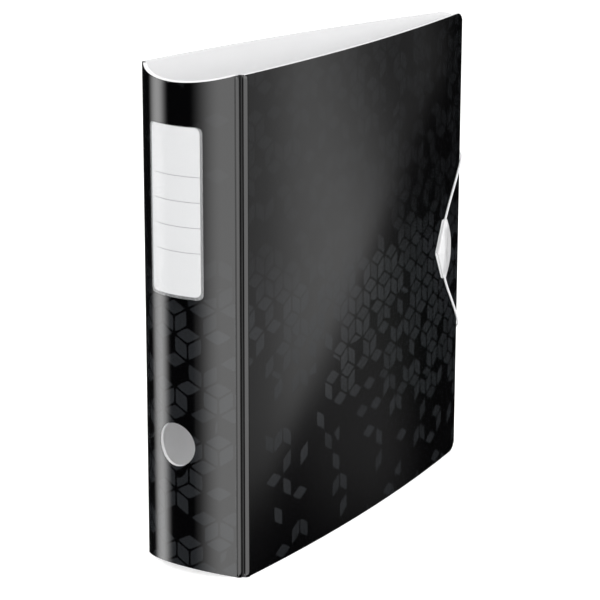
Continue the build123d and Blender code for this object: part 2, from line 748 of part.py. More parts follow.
def cord_groove():
    """Channel for the cord, in the clip frame."""
    groove = tube(loop_path(), CORD_RADIUS + RUNNING)
    shift = edge_frame().location
    return clip_frame().location.inverse() * (shift * groove)


def clip_parts():
    """Shell and base of the clip, closed round the cord, and the stud that it catches on."""
    groove = cord_groove()
    room = rod((-1, STUD_Y, 0), (STUD_HEIGHT + STUD_PLAY, STUD_Y, 0), STUD_HEAD_RADIUS + STUD_PLAY)
    shell = clip_slice(CLIP_SPLIT, CLIP_TOP, CLIP_TAPER)
    scoop = Pos(SCOOP_X, SCOOP_Y, 0) * Rot(0, 0, SCOOP_TURN) * scale(Sphere(1), by=SCOOP_SIZE)
    shell = shell - scoop - room - groove
    base = clip_slice(CLIP_BASE, CLIP_SPLIT, 0) - room - groove
    stud = rod((0, STUD_Y, 0), (STUD_HEIGHT, STUD_Y, 0), STUD_RADIUS)
    stud += rod((STUD_HEIGHT - STUD_HEAD, STUD_Y, 0), (STUD_HEIGHT, STUD_Y, 0), STUD_HEAD_RADIUS)
    stud += rod((-BOARD, STUD_Y, 0), (0, STUD_Y, 0), STUD_SHANK_RADIUS)
    inside = -BOARD - WASHER_THICKNESS
    washer = rod((inside, STUD_Y, 0), (-BOARD - SEAT, STUD_Y, 0), WASHER_RADIUS)
    washer = fillet(washer.edges().group_by(Axis.X)[0], WASHER_THICKNESS * 0.6)
    frame = clip_frame()
    return {
        "closure_clip_shell": placed(frame, shell),
        "closure_clip_base": placed(frame, base),
        "catch_stud": placed(frame, stud),
        "stud_washer": placed(frame, washer),
    }


# ---- everything

def all_parts():
    parts = {}
    for group in (
        back_cover_parts,
        front_cover_parts,
        spine_parts,
        strip_parts,
        label_parts,
        mechanism_parts,
        cord_parts,
        clip_parts,
    ):
        parts.update(group())
    return parts


os.makedirs("parts", exist_ok=True)
for node, shape in all_parts().items():
    export_step(shape, f"parts/{node}.step")
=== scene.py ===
from math import asin, ceil, cos, pi, radians, sin, sqrt

import bpy
from mathutils import Matrix, Vector


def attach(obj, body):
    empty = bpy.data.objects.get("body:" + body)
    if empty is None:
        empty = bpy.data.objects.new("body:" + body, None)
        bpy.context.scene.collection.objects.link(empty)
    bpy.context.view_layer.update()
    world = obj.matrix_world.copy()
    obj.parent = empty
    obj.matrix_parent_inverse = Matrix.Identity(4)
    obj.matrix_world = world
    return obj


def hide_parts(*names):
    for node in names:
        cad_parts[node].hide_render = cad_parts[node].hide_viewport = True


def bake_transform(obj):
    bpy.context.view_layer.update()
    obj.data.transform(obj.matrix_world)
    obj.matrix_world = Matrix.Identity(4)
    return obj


# A lever-arch file standing closed. The row frame has +Z up, the rounded spine on -Y and
# the front cover on +X. Lengths named here are in millimetres, and MM turns them into metres.

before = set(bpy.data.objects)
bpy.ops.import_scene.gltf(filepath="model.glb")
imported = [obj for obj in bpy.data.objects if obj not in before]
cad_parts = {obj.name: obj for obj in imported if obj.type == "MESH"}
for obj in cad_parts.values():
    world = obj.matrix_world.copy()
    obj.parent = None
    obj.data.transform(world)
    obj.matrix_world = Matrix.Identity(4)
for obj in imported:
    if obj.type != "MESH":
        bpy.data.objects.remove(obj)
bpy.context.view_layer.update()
MM = 0.001

# ---- the file's shape, as in the CAD part
HEIGHT = 318.0
HINGE_SPAN = 80.0
COVER_DEPTH = 290.0
COVER_BOW = 7.5
COVER_LEAN = radians(7.0)
SPINE_BULGE = 17.0
STRIP_SIDE = 3.1
BOARD = 2.6
CREASE_Y = -134.2
COVER_R = (COVER_DEPTH ** 2 / 4 + COVER_BOW ** 2) / (2 * COVER_BOW)
HALF_CHORD = HINGE_SPAN / 2 - STRIP_SIDE
SPINE_R = (HALF_CHORD ** 2 + SPINE_BULGE ** 2) / (2 * SPINE_BULGE)
SPINE_CENTRE_Y = CREASE_Y - STRIP_SIDE - SPINE_BULGE + SPINE_R
LABEL_HIGH, LABEL_WIDTH = 286.0, 38.0

# ---- the closure
CORD_DIAMETER = 1.6
CORD_HALF_SPREAD = 61.5   # from the clip's middle to each anchor
TAIL_LENGTH = 14.0
WRAP_RADIUS = 2.25        # of the cord's middle line round the fore-edge
EDGE_ALONG = 289.6        # from the crease to the middle of the fore-edge
CLIP_ALONG = 258.0
CLIP_Z = 156.6
CLIP_HALF_HEIGHT = 20.6
CLIP_POINT_Z = -1.2       # the leaf's point, from the clip's middle


def cover_frame(side, along, depth=0.0):
    """Matrix of a place on a cover, in metres: x is its normal and y runs to the fore-edge."""
    angle = asin((along - COVER_DEPTH / 2) / COVER_R)
    out = COVER_BOW - COVER_R + (COVER_R - depth) * cos(angle)
    run = COVER_DEPTH / 2 + (COVER_R - depth) * sin(angle)
    x = HINGE_SPAN / 2 + out * cos(COVER_LEAN) - run * sin(COVER_LEAN)
    y = CREASE_Y + out * sin(COVER_LEAN) + run * cos(COVER_LEAN)
    normal = Vector((cos(angle + COVER_LEAN), side * sin(angle + COVER_LEAN), 0))
    return axes_matrix(Vector((side * x, y, 0)) * MM, normal)


def axes_matrix(origin, normal):
    """Matrix with the given x axis, z up and y across."""
    up = Vector((0, 0, 1))
    matrix = Matrix((normal, up.cross(normal), up)).transposed().to_4x4()
    matrix.translation = origin
    return matrix


def lifted(matrix, z):
    return Matrix.Translation((0, 0, z * MM)) @ matrix


EDGE_FRAME = lifted(cover_frame(1, EDGE_ALONG, BOARD / 2), CLIP_Z)
CLIP_FRAME = lifted(cover_frame(1, CLIP_ALONG), CLIP_Z)


# ---- camera

CAMERA_PLACE = (0.91717, -1.24560, 0.56980)
CAMERA_YAW = radians(36.951)
CAMERA_PITCH = radians(15.385)
CAMERA_ROLL = radians(0.133)
CAMERA_LENS = 145.3
CAMERA_SENSOR = 36


def make_camera():
    data = bpy.data.cameras.new("camera")
    data.lens = CAMERA_LENS
    data.sensor_width = CAMERA_SENSOR
    camera = bpy.data.objects.new("camera", data)
    turn = Matrix.Rotation(CAMERA_YAW, 4, "Z") @ Matrix.Rotation(pi / 2 - CAMERA_PITCH, 4, "X")
    roll = Matrix.Rotation(CAMERA_ROLL, 4, "Z")
    camera.matrix_world = Matrix.Translation(CAMERA_PLACE) @ turn @ roll
    bpy.context.scene.collection.objects.link(camera)
    bpy.context.scene.camera = camera


# ---- meshes

def mesh_object(name, vertices, faces, material, smooth=True):
    """Object from points in metres, linked to the scene."""
    mesh = bpy.data.meshes.new(name)
    mesh.from_pydata([tuple(v) for v in vertices], [], faces)
    mesh.polygons.foreach_set("use_smooth", [smooth] * len(mesh.polygons))
    mesh.materials.append(material)
    mesh.update()
    piece = bpy.data.objects.new(name, mesh)
    bpy.context.scene.collection.objects.link(piece)
    return piece


def loft(name, rings, material):
    """Closed skin through rings of points, each ring with the same count, with both ends capped."""
    count = len(rings[0])
    vertices = [point for ring in rings for point in ring]
    faces = []
    for row in range(len(rings) - 1):
        for i in range(count):
            j = (i + 1) % count
            a, b = row * count, (row + 1) * count
            faces.append((a + i, a + j, b + j, b + i))
    last = (len(rings) - 1) * count
    faces.append(tuple(reversed(range(count))))
    faces.append(tuple(range(last, last + count)))
    return mesh_object(name, vertices, faces, material)


# ---- shader building

class Graph:
    """Short ways to wire the nodes of one material or world."""

    def __init__(self, owner):
        owner.use_nodes = True
        self.owner = owner
        self.tree = owner.node_tree

    def add(self, kind, **settings):
        node = self.tree.nodes.new(kind)
        for name, value in settings.items():
            setattr(node, name, value)
        return node

    def feed(self, socket, value):
        """Links a node's output to a socket, or sets the socket to a constant."""
        if isinstance(value, bpy.types.NodeSocket):
            self.tree.links.new(value, socket)
        else:
            socket.default_value = value

    def math(self, operation, *values, clamp=False):
        node = self.add("ShaderNodeMath", operation=operation, use_clamp=clamp)
        for socket, value in zip(node.inputs, values):
            self.feed(socket, value)
        return node.outputs[0]

    def total(self, *values):
        result = values[0]
        for value in values[1:]:
            result = self.math("ADD", result, value)
        return result

    def product(self, *values):
        result = values[0]
        for value in values[1:]:
            result = self.math("MULTIPLY", result, value)
        return result

    def ramp(self, value, low, high):
        """Smooth step from 0 at low to 1 at high."""
        node = self.add("ShaderNodeMapRange", interpolation_type="SMOOTHSTEP")
        self.feed(node.inputs["Value"], value)
        if low < high:
            limits = (low, high, 0.0, 1.0)
        else:
            limits = (high, low, 1.0, 0.0)
        for name, limit in zip(("From Min", "From Max", "To Min", "To Max"), limits):
            node.inputs[name].default_value = limit
        return node.outputs["Result"]

    def band(self, value, rise, fall):
        """1 between two smooth edges and 0 outside; an edge is (where it is 0, where it is 1)."""
        return self.product(self.ramp(value, *rise), self.ramp(value, *fall))

    def spread(self, value, low, high):
        """Turns 0..1 into low..high."""
        return self.math("MULTIPLY_ADD", value, high - low, low)

    def place(self):
        """The surface point in the row frame at rest, in millimetres."""
        source = self.add("ShaderNodeTexCoord").outputs["Object"]
        node = self.add("ShaderNodeVectorMath", operation="SCALE")
        self.feed(node.inputs[0], source)
        node.inputs["Scale"].default_value = 1 / MM
        return node.outputs[0]

    def split(self, vector):
        node = self.add("ShaderNodeSeparateXYZ")
        self.feed(node.inputs[0], vector)
        return node.outputs[0], node.outputs[1], node.outputs[2]

    def measure(self, vector, direction):
        """Length of a vector along a fixed direction."""
        node = self.add("ShaderNodeVectorMath", operation="DOT_PRODUCT")
        self.feed(node.inputs[0], vector)
        node.inputs[1].default_value = direction
        return node.outputs["Value"]

    def join(self, x, y, z):
        node = self.add("ShaderNodeCombineXYZ")
        for socket, value in zip(node.inputs, (x, y, z)):
            self.feed(socket, value)
        return node.outputs[0]

    def noise(self, vector, scale, detail=2.0):
        node = self.add("ShaderNodeTexNoise")
        self.feed(node.inputs["Vector"], vector)
        node.inputs["Scale"].default_value = scale
        node.inputs["Detail"].default_value = detail
        return node.outputs["Fac"]

    def random(self, vector):
        node = self.add("ShaderNodeTexWhiteNoise", noise_dimensions="3D")
        self.feed(node.inputs["Vector"], vector)
        return node.outputs["Value"]

    def colours(self, share, first, second):
        """Mix of two colours."""
        node = self.add("ShaderNodeMix", data_type="RGBA")
        self.feed(node.inputs[0], share)
        node.inputs[6].default_value = (*first, 1)
        node.inputs[7].default_value = (*second, 1)
        return node.outputs[2]


class Surface(Graph):
    """A material with one Principled shader."""

    def __init__(self, name, **settings):
        super().__init__(bpy.data.materials.new(name))
        self.shader = self.tree.nodes["Principled BSDF"]
        for socket, value in settings.items():
            self.set(socket.replace("_", " "), value)

    def set(self, socket, value):
        names = {s.name.lower(): s for s in self.shader.inputs}
        self.feed(names[socket.lower()], value)

    def bump(self, height, distance, strength=1.0):
        """Bump from a height of 0..1 over a distance in millimetres."""
        node = self.add("ShaderNodeBump")
        node.inputs["Distance"].default_value = distance * MM
        node.inputs["Strength"].default_value = strength
        self.feed(node.inputs["Height"], height)
        self.set("normal", node.outputs[0])


# ---- the printed pattern: rhombic tiles in threes, which read as cubes

TILE_SIDE = 11.2
TILE_WAIST = sqrt(3) / 2 * TILE_SIDE
TILE_CORNER = 1.12         # above 1 it rounds a tile's corners
TILE_RIM = (0.83, 0.74)    # where a tile's ink ends and where it is full, as shares of the tile
THIRD_TURN = 2 * pi / 3
FILM_BLACK = (0.0008, 0.0008, 0.0010)
PRINT_BLACK = (0.0122, 0.0134, 0.0150)
PRINT_FADE_Z = (155.0, 205.0)
PATCH_SCALE = 0.018


def nearest_cell(g, across, up):
    """Offset from the nearest hexagon's centre, and that centre, on a grid of hexagons."""
    wide, high = 2 * TILE_WAIST, 3 * TILE_SIDE
    options = []
    for shift in (0.0, 0.5):
        centres = []
        for value, period in ((across, wide), (up, high)):
            index = g.math("ROUND", g.math("MULTIPLY_ADD", value, 1 / period, -shift))
            centres.append(g.math("MULTIPLY", g.math("ADD", index, shift), period))
        dx = g.math("SUBTRACT", across, centres[0])
        dy = g.math("SUBTRACT", up, centres[1])
        far = g.math("ADD", g.math("POWER", g.math("ABSOLUTE", dx), 2.0),
                     g.math("POWER", g.math("ABSOLUTE", dy), 2.0))
        options.append((dx, dy, centres[0], centres[1], far))
    first, second = options
    take_second = g.math("LESS_THAN", second[4], first[4])

    def chosen(i):
        gap = g.math("SUBTRACT", second[i], first[i])
        return g.math("MULTIPLY_ADD", gap, take_second, first[i])

    return [chosen(i) for i in range(4)]


def tile_mask(g, across, up, density):
    """1 inside a printed tile and 0 elsewhere, and the tile's own random value."""
    dx, dy, centre_x, centre_y = nearest_cell(g, across, up)
    bearing = g.math("ARCTAN2", dx, dy)
    third = g.math("ROUND", g.math("DIVIDE", bearing, THIRD_TURN))
    turned = g.math("MULTIPLY_ADD", third, -THIRD_TURN, bearing)
    reach = g.math("SQRT", g.total(g.product(dx, dx), g.product(dy, dy)))
    x = g.math("ABSOLUTE", g.product(reach, g.math("SINE", turned)))
    y = g.math("SUBTRACT", g.product(reach, g.math("COSINE", turned)), TILE_SIDE / 2)
    across_share = g.math("POWER", g.math("DIVIDE", x, TILE_WAIST), TILE_CORNER)
    up_share = g.math("DIVIDE", g.math("ABSOLUTE", y), TILE_SIDE / 2)
    up_share = g.math("POWER", up_share, TILE_CORNER)
    inside = g.ramp(g.total(across_share, up_share), *TILE_RIM)
    own = g.random(g.join(centre_x, centre_y, third))
    shown = g.math("LESS_THAN", own, density)
    return g.product(inside, shown), own


def foil(name, across_of, density_of, fade_to):
    """Glossy black film with the faint tile print, which is fade_to as strong near the top."""
    g = Surface(name, IOR=1.5)
    place = g.place()
    x, y, z = g.split(place)
    across = across_of(g, x, y)
    density = density_of(g, across, z)
    mask, own = tile_mask(g, across, z, density)
    fade = g.spread(g.ramp(z, *PRINT_FADE_Z), 1.0, fade_to)
    tone = g.product(mask, fade, g.spread(g.random(g.join(own, 1.0, 2.0)), 0.75, 1.2))
    cloud = g.noise(place, 0.02, 3.0)
    g.set("base color", g.colours(tone, FILM_BLACK, PRINT_BLACK))
    rough = g.total(g.spread(cloud, 0.075, 0.115), g.product(tone, 0.05))
    g.set("roughness", rough)
    grain = g.noise(place, 2.6, 2.0)
    g.bump(g.total(g.product(mask, 0.3), g.product(grain, 0.10)), 0.010)
    return g.owner


def cover_across(g, _x, y):
    """Distance along a cover from its crease."""
    return g.math("SUBTRACT", y, CREASE_Y)


def spine_across(g, x, y):
    """Arc length round the spine from its crest."""
    inward = g.math("SUBTRACT", SPINE_CENTRE_Y, y)
    return g.product(g.math("ARCTAN2", x, inward), SPINE_R)


def cover_density(g, across, z):
    """Tiles crowd together round the middle and near the fore-edge, and thin out at both ends."""
    height = g.math("MULTIPLY_ADD", across, 0.40, z)
    patches = g.noise(g.join(across, 0.0, z), PATCH_SCALE, 1.0)
    crowd = g.product(g.ramp(height, 90.0, 235.0), g.spread(g.ramp(z, 165.0, 215.0), 1.0, 0.5))
    return g.total(g.product(crowd, 0.72), g.spread(patches, 0.0, 0.36))


def spine_density(g, across, z):
    """Tiles crowd together below the label."""
    patches = g.noise(g.join(across, 60.0, z), PATCH_SCALE, 1.0)
    return g.total(g.product(g.ramp(z, 215.0, 160.0), 0.45), g.spread(patches, 0.0, 0.45))


# ---- the other materials

def hinge_film():
    """The same black film without print, creased along the fold."""
    g = Surface("hinge_film", IOR=1.5, base_color=(0.0010, 0.0010, 0.0012, 1))
    place = g.place()
    g.set("roughness", g.spread(g.noise(place, 0.05, 3.0), 0.09, 0.16))
    x, y, z = g.split(place)
    streaks = g.noise(g.join(g.product(x, 1.4), g.product(y, 1.4), g.product(z, 0.05)), 1.0, 2.0)
    g.bump(streaks, 0.02)
    return g.owner


def white_board(name, colour, roughness, fine):
    """White plastic sheet or foam edge, with a fine uneven surface."""
    g = Surface(name, IOR=1.46)
    place = g.place()
    broad = g.noise(place, 0.05, 2.0)
    small = g.noise(place, fine, 3.0)
    darker = tuple(0.97 * c for c in colour)
    g.set("base color", g.colours(broad, darker, colour))
    g.set("roughness", g.spread(small, roughness - 0.06, roughness + 0.06))
    g.bump(small, 0.02)
    return g.owner


LINE_COUNT = 4
LINE_PITCH = 15.7
LINE_HALF_WIDTH = 0.24
LINE_MARGIN = 3.4
FIRST_LINE_Z = LABEL_HIGH - 30.0
CARD_WHITE = (0.56, 0.56, 0.565)
LINE_GREY = (0.13, 0.13, 0.135)


def label_card():
    """White card with four thin ruled lines."""
    g = Surface("label_card_print", IOR=1.45)
    place = g.place()
    x, y, z = g.split(place)
    across = spine_across(g, x, y)
    step = g.math("DIVIDE", g.math("SUBTRACT", FIRST_LINE_Z, z), LINE_PITCH)
    index = g.math("MAXIMUM", g.math("ROUND", step), 0.0)
    index = g.math("MINIMUM", index, LINE_COUNT - 1.0)
    off = g.product(g.math("ABSOLUTE", g.math("SUBTRACT", step, index)), LINE_PITCH)
    line = g.ramp(off, LINE_HALF_WIDTH + 0.12, LINE_HALF_WIDTH - 0.10)
    start = -LABEL_WIDTH / 2 + LINE_MARGIN
    left = g.ramp(across, start, start + 0.3)
    fibre = g.noise(g.join(g.product(x, 1.0), g.product(y, 1.0), g.product(z, 3.0)), 0.9, 3.0)
    ink = g.product(line, left, g.spread(fibre, 0.75, 0.95))
    g.set("base color", g.colours(ink, CARD_WHITE, LINE_GREY))
    g.set("roughness", g.spread(fibre, 0.52, 0.66))
    g.bump(fibre, 0.015)
    return g.owner


def clear_film():
    """Clear pocket film, slightly milky."""
    g = Surface("clear_pocket_film", IOR=1.5, base_color=(0.80, 0.81, 0.82, 1), alpha=0.15)
    place = g.place()
    waves = g.noise(place, 0.12, 2.0)
    g.set("roughness", g.spread(waves, 0.05, 0.10))
    g.bump(waves, 0.03)
    return g.owner


def plated_steel(name, colour, roughness, brushed):
    """Plated sheet or wire. brushed is how far the grain is drawn out along z."""
    g = Surface(name, metallic=1.0)
    place = g.place()
    x, y, z = g.split(place)
    grain = g.noise(g.join(x, y, g.product(z, 1 / brushed)), 2.2, 3.0)
    smudge = g.noise(place, 0.06, 3.0)
    darker = tuple(0.86 * c for c in colour)
    g.set("base color", g.colours(smudge, darker, colour))
    g.set("roughness", g.total(g.spread(grain, roughness - 0.05, roughness + 0.05),
                               g.product(smudge, 0.08)))
    g.bump(grain, 0.006)
    return g.owner


def moulded(name, colour, roughness, texture):
    """Moulded plastic with a fine spark-eroded grain; texture is the grain's scale."""
    g = Surface(name, IOR=1.49)
    place = g.place()
    grain = g.noise(place, texture, 3.0)
    flow = g.noise(place, 0.15, 2.0)
    darker = tuple(0.94 * c for c in colour)
    g.set("base color", g.colours(flow, darker, colour))
    g.set("roughness", g.spread(grain, roughness - 0.06, roughness + 0.06))
    g.bump(grain, 0.015)
    return g.owner


SCOOP_SHADE_SLOPE = -0.28            # of the edge along the pointed side of the finger scoop's satin area, whose colour is painted darker as shade
SCOOP_SHADE_ACROSS = (-7.4, -5.4)    # where it starts and where it is full, at the point
SCOOP_SHADE_ENDS = (19.5, 14.5)      # the same towards the tips
# The second colour is painted shade. The scoop side of the clip is coloured darker to stand in for
# the shade there.
CLIP_WHITE = (0.72, 0.72, 0.725)
CLIP_SCOOP_PAINTED_SHADE = (0.47, 0.47, 0.475)


def clip_plastic():
    """White moulded plastic. It is satin in the finger scoop, where its colour is painted darker as
    shade.
    """
    g = Surface("clip_white", IOR=1.49)
    place = g.place()
    grain = g.noise(place, 1.5, 3.0)
    along = Vector(CLIP_FRAME.col[1][:3])
    across = g.math("SUBTRACT", g.measure(place, along), CLIP_FRAME.translation.dot(along) / MM)
    z = g.split(place)[2]
    taper = g.math("ABSOLUTE", g.math("SUBTRACT", z, CLIP_Z + CLIP_POINT_Z))
    inner = g.math("MULTIPLY_ADD", taper, SCOOP_SHADE_SLOPE, across)
    # Painted shade: this mask darkens the scoop's colour to stand in for shade, and it also makes
    # the scoop rougher (satin).
    scoop_satin_and_shade = g.product(g.ramp(inner, *SCOOP_SHADE_ACROSS), g.ramp(taper, *SCOOP_SHADE_ENDS))
    shade = g.total(g.product(scoop_satin_and_shade, 0.85), g.product(grain, 0.12))
    g.set("base color", g.colours(shade, CLIP_WHITE, CLIP_SCOOP_PAINTED_SHADE))
    g.set("roughness", g.spread(scoop_satin_and_shade, 0.26, 0.48))
    g.bump(grain, 0.012)
    return g.owner


def elastic():
    """White braided elastic; its braid is in the mesh."""
    g = Surface("elastic_braid", roughness=0.62, sheen_weight=0.25, sheen_roughness=0.4)
    place = g.place()
    fuzz = g.noise(place, 3.5, 2.0)
    g.set("base color", g.colours(fuzz, (0.66, 0.66, 0.67), (0.84, 0.84, 0.845)))
    g.bump(fuzz, 0.05)
    return g.owner


def paint_frame(looks):
    """Gives each CAD node its material."""
    for node, material in looks.items():
        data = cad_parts[node].data
        data.materials.clear()
        data.materials.append(material)
        data.polygons.foreach_set("use_smooth", [True] * len(data.polygons))


def make_looks():
    cover_print = foil("cover_foil_print", cover_across, cover_density, 0.28)
    spine_print = foil("spine_foil_print", spine_across, spine_density, 0.35)
    film = hinge_film()
    core = white_board("foam_core", (0.70, 0.70, 0.705), 0.62, 1.6)
    lining = white_board("white_lining", (0.90, 0.90, 0.905), 0.42, 0.7)
    sheet = plated_steel("nickel_plate", (0.74, 0.74, 0.75), 0.24, 6.0)
    wire = plated_steel("nickel_wire", (0.78, 0.78, 0.79), 0.17, 2.0)
    rivet = plated_steel("rivet_steel_satin", (0.66, 0.66, 0.67), 0.33, 1.5)
    grip = moulded("grip_black", (0.012, 0.012, 0.013), 0.38, 2.4)
    bar = moulded("bar_black", (0.016, 0.016, 0.017), 0.46, 1.8)
    acetal = moulded("acetal_white", (0.76, 0.75, 0.72), 0.34, 1.2)
    clip = clip_plastic()
    paint_frame({
        "front_cover_foil": cover_print,
        "back_cover_foil": cover_print,
        "spine_foil": spine_print,
        "front_hinge_strip": film,
        "back_hinge_strip": film,
        "front_cover_board": core,
        "back_cover_board": core,
        "spine_board": core,
        "front_cover_lining": lining,
        "back_cover_lining": lining,
        "spine_lining": lining,
        "label_insert": label_card(),
        "label_pocket": clear_film(),
        "mechanism_base_plate": sheet,
        "lever_arm": sheet,
        "upper_post": wire,
        "lower_post": wire,
        "arch_bail": wire,
        "lever_pivot_pin": rivet,
        "roller_pin": rivet,
        "mounting_rivets": rivet,
        "catch_stud": rivet,
        "stud_washer": acetal,
        "lever_roller": acetal,
        "lever_grip": grip,
        "compressor_bar": bar,
        "cord_anchors": acetal,
        "closure_clip_base": clip,
    })
    return {"film": film, "clip": clip, "elastic": elastic()}


# ---- elastic cord

CORD_STEP = 0.22
BRAID_PITCH = 1.5
BRAID_STRANDS = 5
BRAID_DEPTH = 0.035        # as a share of the cord's radius


def cord_route():
    """Control points from anchor to anchor, in the edge frame: x is outwards and z up."""
    return [
        (-WRAP_RADIUS, -TAIL_LENGTH, CORD_HALF_SPREAD),
        (-WRAP_RADIUS, -2.4, 64.6),
        (-WRAP_RADIUS, 2.2, 65.0),
        (2.20, 2.2, 61.2),
        (2.25, -0.6, 54.8),
        (2.35, -9.6, 44.0),
        (2.75, -29.6, 22.6),
        (2.95, -40.8, 1.0),
        (2.75, -29.6, -22.4),
        (2.35, -9.6, -45.6),
        (2.25, -0.8, -57.0),
        (2.20, 2.2, -64.0),
        (-WRAP_RADIUS, 2.2, -66.8),
        (-WRAP_RADIUS, -2.4, -65.6),
        (-WRAP_RADIUS, -TAIL_LENGTH, -CORD_HALF_SPREAD),
    ]


def nurbs_line(points):
    """Points along the smooth line that control points in metres set."""
    data = bpy.data.curves.new("route", "CURVE")
    data.dimensions = "3D"
    spline = data.splines.new("NURBS")
    spline.points.add(len(points) - 1)
    for spot, point in zip(spline.points, points):
        spot.co = (*point, 1)
    spline.order_u = 3
    spline.use_endpoint_u = True
    spline.resolution_u = 48
    holder = bpy.data.objects.new("route", data)
    mesh = bpy.data.meshes.new_from_object(holder)
    line = [vertex.co.copy() for vertex in mesh.vertices]
    bpy.data.objects.remove(holder)
    bpy.data.curves.remove(data)
    bpy.data.meshes.remove(mesh)
    return line


def evenly(line, step):
    """Points at equal distances along a fine polyline, both ends included."""
    lengths = [0.0]
    for a, b in zip(line, line[1:]):
        lengths.append(lengths[-1] + (b - a).length)
    count = ceil(lengths[-1] / step)
    spots, i = [], 0
    for k in range(count + 1):
        target = lengths[-1] * k / count
        while i < len(line) - 2 and lengths[i + 1] < target:
            i += 1
        share = (target - lengths[i]) / (lengths[i + 1] - lengths[i])
        spots.append(line[i].lerp(line[i + 1], share))
    return spots


def braided_tube(name, line, radius, material, around=20):
    """Tube along a line whose skin rises and falls like a round braid."""
    rings = []
    side = Vector((0, 0, 1))
    travelled = 0.0
    for i, point in enumerate(line):
        ahead = line[min(i + 1, len(line) - 1)] - line[max(i - 1, 0)]
        ahead.normalize()
        side = (side - ahead * side.dot(ahead)).normalized()
        other = ahead.cross(side)
        if i:
            travelled += (point - line[i - 1]).length
        phase = travelled / (BRAID_PITCH * MM) * 2 * pi
        ring = []
        for j in range(around):
            angle = 2 * pi * j / around
            twist = BRAID_STRANDS * angle
            weave = sin(phase + twist) * sin(phase - twist)
            reach = radius * (1 - BRAID_DEPTH + BRAID_DEPTH * weave)
            ring.append(point + reach * (side * cos(angle) + other * sin(angle)))
        rings.append(ring)
    return loft(name, rings, material)


def make_cord(material):
    points = [EDGE_FRAME @ (Vector(point) * MM) for point in cord_route()]
    line = evenly(nurbs_line(points), CORD_STEP * MM)
    length = sum((b - a).length for a, b in zip(line, line[1:]))
    cord = braided_tube("elastic_cord", line, CORD_DIAMETER / 2 * MM, material)
    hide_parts("closure_cord", "cord_wraps", "cord_tails")
    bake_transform(cord)
    cord.visible_glossy = False
    return cord, line, length


# ---- closure clip

LEAF_POINT = -12.4         # across the clip, the pointed side at its point
LEAF_TAPER = 11.4          # how far that side comes in at the tips
LEAF_ROUND = 8.2           # the rounded side at its middle
LEAF_ROUND_TAPER = 4.4
LEAF_FOOT = 0.4            # heights over the cover
LEAF_RIM = 0.9
LEAF_CROWN = 5.4
LEAF_CROWN_DROP = 2.2      # how much lower the crown is at the tips
LEAF_CEILING = 3.0
LEAF_WALL = 0.45
SCOOP_DEPTH = 0.9
SCOOP_REACH = 0.75         # half the finger scoop's length, as a share of the clip's half height
BEVEL_STEPS = 14
SCOOP_STEPS = 16
CLIP_ROWS = 44             # in each half of the clip
CAP_SHARE = 0.86           # the rounded ends, against the slices next to them
CAP_LIFT = 0.35


def clip_section(z):
    """One level slice of the clip's shell, in the clip frame: (height, place across) all round."""
    share = abs(z) / CLIP_HALF_HEIGHT
    way = 1 if z > CLIP_POINT_Z else -1
    point = abs(z - CLIP_POINT_Z) / (CLIP_HALF_HEIGHT - CLIP_POINT_Z * way)
    left = LEAF_POINT + LEAF_TAPER * point
    right = LEAF_ROUND - LEAF_ROUND_TAPER * share ** 2.2
    crown = LEAF_CROWN - LEAF_CROWN_DROP * share ** 1.7
    ridge = left + (right - left) * (0.36 + 0.14 * share)
    edge = crown - 1.5 + 0.8 * share
    scoop = SCOOP_DEPTH * max(0.0, 1 - (share / SCOOP_REACH) ** 2)
    bevel = left + 0.08
    outline = [(LEAF_FOOT, left + 0.1), (LEAF_RIM - 0.2, left), (LEAF_RIM, bevel)]
    for i in range(1, BEVEL_STEPS + 1):
        t = i / BEVEL_STEPS
        height = LEAF_RIM + (crown - LEAF_RIM) * sin(t * pi / 2) ** 1.15
        outline.append((height, bevel + (ridge - bevel) * t))
    for i in range(1, SCOOP_STEPS + 1):
        t = i / SCOOP_STEPS
        hollow = scoop * sin(pi * t ** 0.8) ** 1.5
        height = crown + (edge - crown) * t ** 1.5 - hollow
        outline.append((height, ridge + (right - 0.3 - ridge) * t))
    outline += [(edge - 0.12, right - 0.1), (edge - 0.4, right), (LEAF_FOOT, right - 0.1)]
    ceiling = min(LEAF_CEILING, crown - 0.7)
    wall_right, wall_left = right - 0.1 - LEAF_WALL, left + 0.1 + LEAF_WALL
    inner = [(LEAF_FOOT, wall_right), (min(ceiling, edge - 0.7), wall_right - 0.1)]
    inner += [(ceiling, ridge), (LEAF_FOOT + 0.2, wall_left), (LEAF_FOOT, wall_left)]
    return outline + inner


def make_clip(material):
    """Shell of the clip: a leaf with a bright bevel on its pointed side and a finger scoop."""
    rings = []
    for k in range(-CLIP_ROWS, CLIP_ROWS + 1):
        z = CLIP_HALF_HEIGHT * k / CLIP_ROWS
        rings.append([CLIP_FRAME @ (Vector((x, y, z)) * MM) for x, y in clip_section(z)])
    caps = []
    for ring, sign in ((rings[0], -1), (rings[-1], 1)):
        centre = sum(ring, Vector()) / len(ring)
        lift = Vector((0, 0, sign * CAP_LIFT * MM))
        caps.append([centre + (point - centre) * CAP_SHARE + lift for point in ring])
    shell = loft("clip_shell", [caps[0], *rings, caps[1]], material)
    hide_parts("closure_clip_shell")
    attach(shell, "closure_loop")
    shell.visible_glossy = False
    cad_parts["closure_clip_base"].visible_glossy = False
    return shell


# ---- raised beads of film over the four creases

